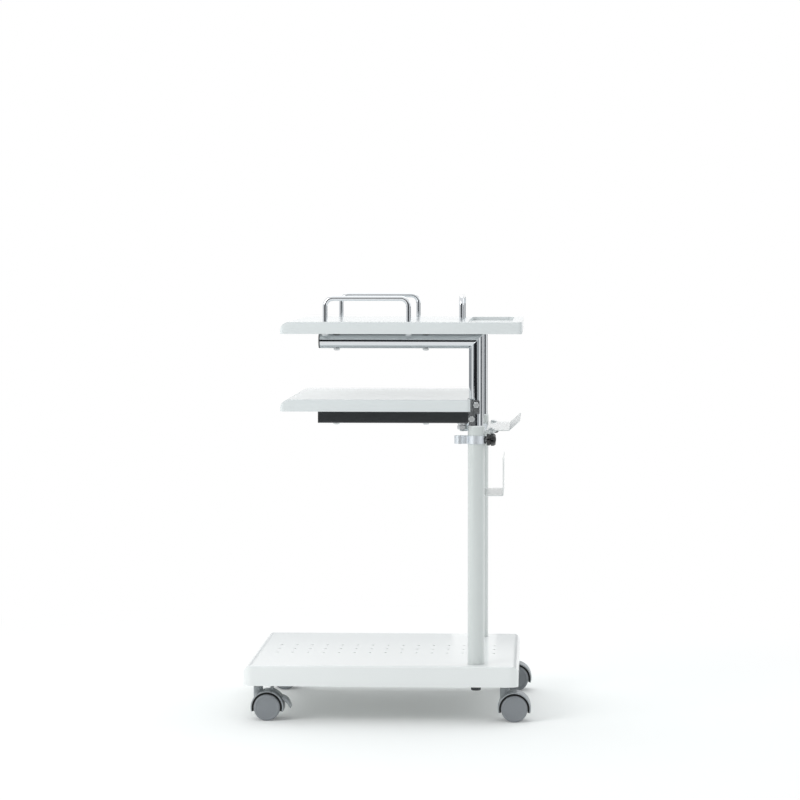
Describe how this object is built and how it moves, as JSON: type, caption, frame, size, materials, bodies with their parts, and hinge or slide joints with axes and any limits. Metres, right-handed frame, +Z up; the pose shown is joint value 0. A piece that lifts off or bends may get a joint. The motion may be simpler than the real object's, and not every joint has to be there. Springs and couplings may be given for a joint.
{
  "type": "projector cart",
  "caption": "Wheeled cart with a folded steel base, two telescoping side posts, a deck with guard rails and a pen recess, and a lower shelf that rises with it.",
  "frame": {"origin": "on the floor, under the middle of the whole cart, casters included", "axes": "+X to the rear of the cart, where the posts stand, +Y to its right side, +Z up"},
  "size_m": [0.433, 0.4, 0.6408],
  "materials": {
    "white_steel": "smooth white powder coat",
    "white_board": "white foil-wrapped fibreboard, satin",
    "chrome_steel": "polished chrome plate",
    "silver": "satin silver",
    "zinc_steel": "bright zinc plate",
    "dark_steel": "black-oxide steel",
    "black_steel": "satin black powder coat",
    "white_plastic": "moulded white plastic",
    "dark_plastic": "moulded black plastic",
    "black_gloss": "polished black plastic",
    "grey_plastic": "moulded grey nylon",
    "grey_tread": "moulded grey nylon tread"
  },
  "bodies": {
    "base": {"base_tray": "white_steel", "front_caster_beam": "white_steel", "rear_caster_beam": "white_steel", "post_beam": "white_steel", "post_left": "white_steel", "post_right": "white_steel", "post_bolts": "dark_steel", "post_bushings": "white_plastic", "collar_left": "silver", "collar_right": "silver", "back_plate": "white_steel", "hook_tray": "white_steel", "cord_hook": "white_steel", "hook_screws": "zinc_steel", "caster_stems": "zinc_steel", "caster_nuts": "zinc_steel"},
    "upper_frame": {"column_left": "chrome_steel", "column_right": "chrome_steel", "arm_left": "chrome_steel", "arm_right": "chrome_steel", "end_caps": "dark_plastic", "column_glides": "dark_plastic", "top_shelf": "white_board", "arm_screws": "zinc_steel", "arm_saddles": "dark_plastic", "guard_left": "chrome_steel", "guard_right": "chrome_steel", "guard_rear": "chrome_steel", "guard_screws": "zinc_steel", "mid_shelf": "white_board", "mid_rail_left": "black_steel", "mid_rail_right": "black_steel", "mid_shelf_screws": "zinc_steel", "mid_bracket_left": "chrome_steel", "mid_bracket_right": "chrome_steel", "bracket_bolts": "zinc_steel", "rail_bolts": "zinc_steel"},
    "knob_left": {"knob_left": "black_gloss", "knob_screw_left": "zinc_steel"},
    "knob_right": {"knob_right": "black_gloss", "knob_screw_right": "zinc_steel"},
    "caster_front_left": {"hood_front_left": "grey_plastic", "axle_front_left": "zinc_steel"},
    "wheel_front_left_outer": {"wheel_front_left_outer": "grey_tread"},
    "wheel_front_left_inner": {"wheel_front_left_inner": "grey_tread"},
    "caster_front_right": {"hood_front_right": "grey_plastic", "axle_front_right": "zinc_steel"},
    "wheel_front_right_outer": {"wheel_front_right_outer": "grey_tread"},
    "wheel_front_right_inner": {"wheel_front_right_inner": "grey_tread"},
    "caster_rear_left": {"hood_rear_left": "grey_plastic", "axle_rear_left": "zinc_steel"},
    "wheel_rear_left_outer": {"wheel_rear_left_outer": "grey_tread"},
    "wheel_rear_left_inner": {"wheel_rear_left_inner": "grey_tread"},
    "caster_rear_right": {"hood_rear_right": "grey_plastic", "axle_rear_right": "zinc_steel"},
    "wheel_rear_right_outer": {"wheel_rear_right_outer": "grey_tread"},
    "wheel_rear_right_inner": {"wheel_rear_right_inner": "grey_tread"},
    "brake_lever_left": {"brake_lever_left": "grey_plastic"},
    "brake_lever_right": {"brake_lever_right": "grey_plastic"}
  },
  "joints": [
    {"name": "height_slide", "type": "slide", "parent": "base", "child": "upper_frame", "axis": [0, 0, 1], "range_m": [0, 0.2]},
    {"name": "knob_left_turn", "type": "hinge", "parent": "base", "child": "knob_left", "pos_m": [0.1335, -0.1655, 0.4247], "axis": [1, 0, 0], "continuous": true},
    {"name": "knob_right_turn", "type": "hinge", "parent": "base", "child": "knob_right", "pos_m": [0.1335, 0.1655, 0.4247], "axis": [1, 0, 0], "continuous": true},
    {"name": "caster_front_left_swivel", "type": "hinge", "parent": "base", "child": "caster_front_left", "pos_m": [-0.196, -0.164, 0.05], "axis": [0, 0, 1], "continuous": true},
    {"name": "wheel_front_left_outer_roll", "type": "hinge", "parent": "caster_front_left", "child": "wheel_front_left_outer", "pos_m": [-0.1815, -0.164, 0.02], "axis": [0, 1, 0], "continuous": true},
    {"name": "wheel_front_left_inner_roll", "type": "hinge", "parent": "caster_front_left", "child": "wheel_front_left_inner", "pos_m": [-0.1815, -0.164, 0.02], "axis": [0, 1, 0], "continuous": true},
    {"name": "caster_front_right_swivel", "type": "hinge", "parent": "base", "child": "caster_front_right", "pos_m": [-0.196, 0.164, 0.05], "axis": [0, 0, 1], "continuous": true},
    {"name": "wheel_front_right_outer_roll", "type": "hinge", "parent": "caster_front_right", "child": "wheel_front_right_outer", "pos_m": [-0.1815, 0.164, 0.02], "axis": [0, 1, 0], "continuous": true},
    {"name": "wheel_front_right_inner_roll", "type": "hinge", "parent": "caster_front_right", "child": "wheel_front_right_inner", "pos_m": [-0.1815, 0.164, 0.02], "axis": [0, 1, 0], "continuous": true},
    {"name": "caster_rear_left_swivel", "type": "hinge", "parent": "base", "child": "caster_rear_left", "pos_m": [0.177, -0.164, 0.05], "axis": [0, 0, 1], "continuous": true},
    {"name": "wheel_rear_left_outer_roll", "type": "hinge", "parent": "caster_rear_left", "child": "wheel_rear_left_outer", "pos_m": [0.1915, -0.164, 0.02], "axis": [0, 1, 0], "continuous": true},
    {"name": "wheel_rear_left_inner_roll", "type": "hinge", "parent": "caster_rear_left", "child": "wheel_rear_left_inner", "pos_m": [0.1915, -0.164, 0.02], "axis": [0, 1, 0], "continuous": true},
    {"name": "caster_rear_right_swivel", "type": "hinge", "parent": "base", "child": "caster_rear_right", "pos_m": [0.177, 0.164, 0.05], "axis": [0, 0, 1], "continuous": true},
    {"name": "wheel_rear_right_outer_roll", "type": "hinge", "parent": "caster_rear_right", "child": "wheel_rear_right_outer", "pos_m": [0.1915, 0.164, 0.02], "axis": [0, 1, 0], "continuous": true},
    {"name": "wheel_rear_right_inner_roll", "type": "hinge", "parent": "caster_rear_right", "child": "wheel_rear_right_inner", "pos_m": [0.1915, 0.164, 0.02], "axis": [0, 1, 0], "continuous": true},
    {"name": "brake_lever_left_pivot", "type": "hinge", "parent": "caster_front_left", "child": "brake_lever_left", "pos_m": [-0.1755, -0.164, 0.047], "axis": [0, -1, 0], "range_deg": [0, 25]},
    {"name": "brake_lever_right_pivot", "type": "hinge", "parent": "caster_front_right", "child": "brake_lever_right", "pos_m": [-0.1755, 0.164, 0.047], "axis": [0, -1, 0], "range_deg": [0, 25]}
  ]
}
